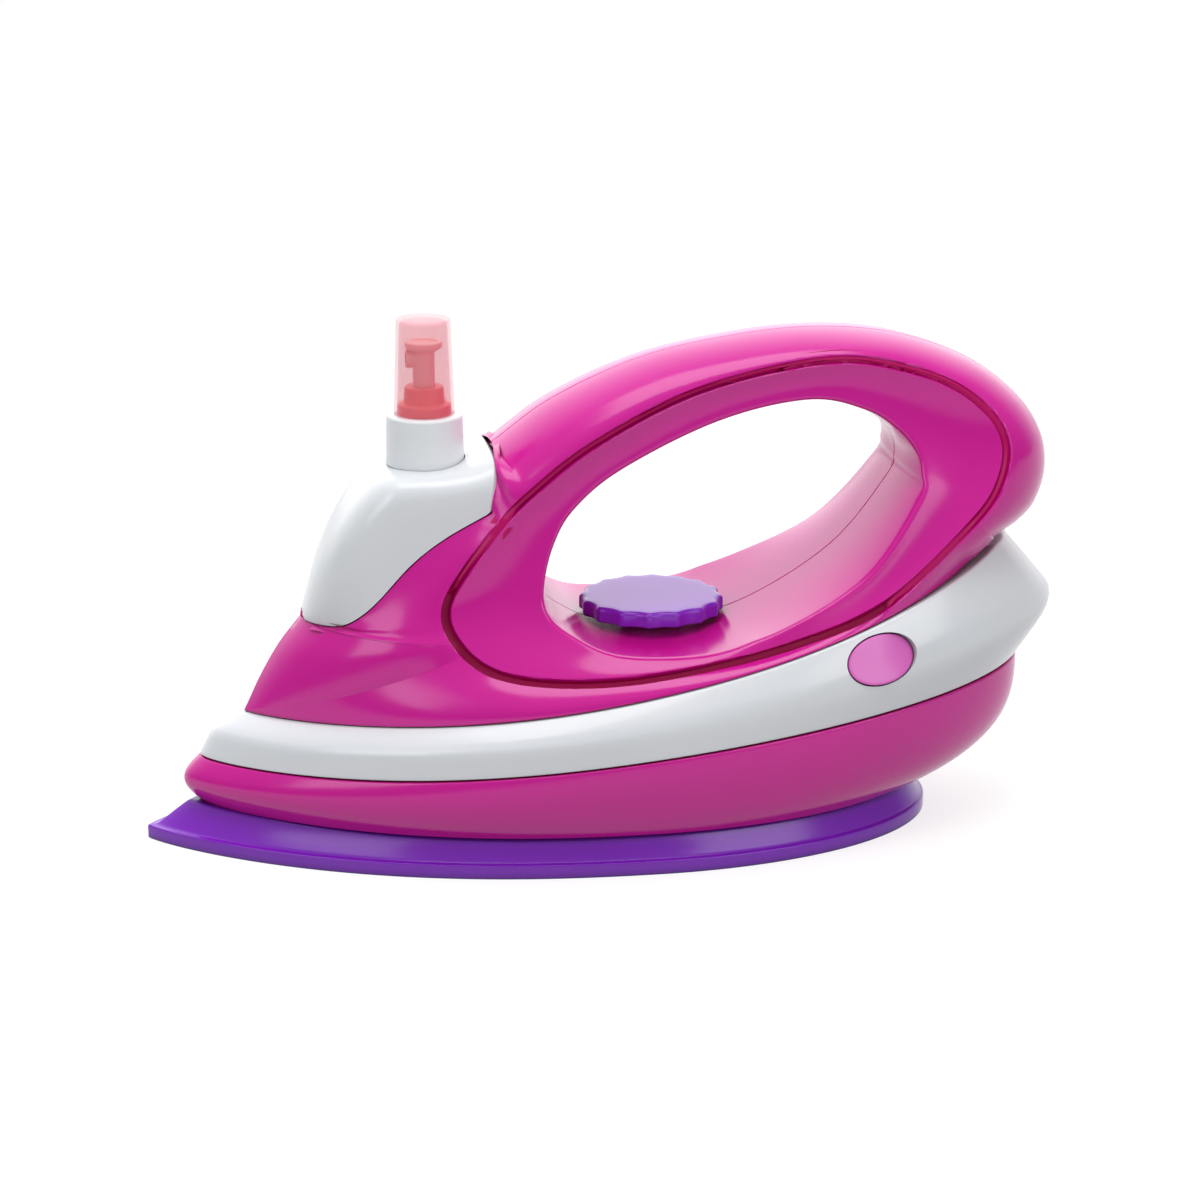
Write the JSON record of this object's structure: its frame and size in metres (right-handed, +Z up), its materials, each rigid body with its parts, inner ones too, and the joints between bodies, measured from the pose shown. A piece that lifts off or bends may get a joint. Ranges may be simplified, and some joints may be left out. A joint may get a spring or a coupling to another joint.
{
  "type": "toy iron",
  "caption": "Child's toy iron with a loop handle, flared heel, water tank with a capped fine-mist sprayer, fluted dial that turns and a sprung oval side button.",
  "frame": {"origin": "On the sole's flat underside, below the middle of the overall box.", "axes": "+X from the pointed tip to the heel, +Y to the right side of a user who faces the tip, +Z up from the sole."},
  "size_m": [0.222, 0.0906, 0.1243],
  "materials": {
    "purple_plastic": "injection-moulded, polished mould",
    "magenta_plastic": "injection-moulded, polished mould",
    "white_plastic": "injection-moulded, polished mould",
    "pink_plastic": "injection-moulded, polished mould",
    "cap_plastic": "thin translucent moulding",
    "salmon_plastic": "injection-moulded, slightly translucent",
    "natural_plastic": "unpigmented moulding",
    "steel": "plated wire, sheet and screws",
    "gasket_rubber": "die-cut soft washer",
    "board_laminate": "lacquered laminate",
    "black_plastic": "fine moulded grain",
    "cell_wrap": "printed shrink sleeve"
  },
  "bodies": {
    "housing": {"soleplate": "purple_plastic", "base_skirt": "magenta_plastic", "white_band": "white_plastic", "left_shell": "magenta_plastic", "right_shell": "magenta_plastic", "water_tank": "white_plastic", "spray_collar": "white_plastic", "neck_gasket": "gasket_rubber", "pump_barrel": "natural_plastic", "pump_spring": "steel", "inlet_ball": "steel", "dip_tube": "natural_plastic", "snap_ring": "salmon_plastic", "dial_bush": "natural_plastic", "button_spring": "steel", "circuit_board": "board_laminate", "press_switch": "black_plastic", "board_screws": "steel", "loudspeaker": "black_plastic", "battery_box": "black_plastic", "cells": "cell_wrap", "contact_plates": "steel", "contact_springs": "steel", "battery_door": "purple_plastic", "door_screw": "steel", "shell_screws": "steel", "base_screws": "steel"},
    "spray": {"spray_head": "salmon_plastic", "nozzle_insert": "salmon_plastic", "pump_piston": "natural_plastic"},
    "cap": {"overcap": "cap_plastic"},
    "knob": {"dial": "purple_plastic", "dial_washer": "steel", "dial_screw": "steel"},
    "button": {"oval_button": "pink_plastic"}
  },
  "joints": [
    {"name": "dial_turn", "type": "hinge", "parent": "housing", "child": "knob", "pos_m": [0.01099, 0, 0.05124], "axis": [0, 0, 1], "continuous": true},
    {"name": "button_press", "type": "slide", "parent": "housing", "child": "button", "axis": [-0.2511, 0.9055, -0.342], "range_m": [0, 0.0015], "stiffness_N_per_m": 600, "deforming": ["button_spring"]},
    {"name": "spray_press", "type": "slide", "parent": "housing", "child": "spray", "axis": [0, 0, -1], "range_m": [0, 0.004], "stiffness_N_per_m": 800, "deforming": ["pump_spring"]},
    {"name": "overcap_lift", "type": "slide", "parent": "housing", "child": "cap", "axis": [0, 0, 1], "range_m": [0, 0.03]}
  ]
}
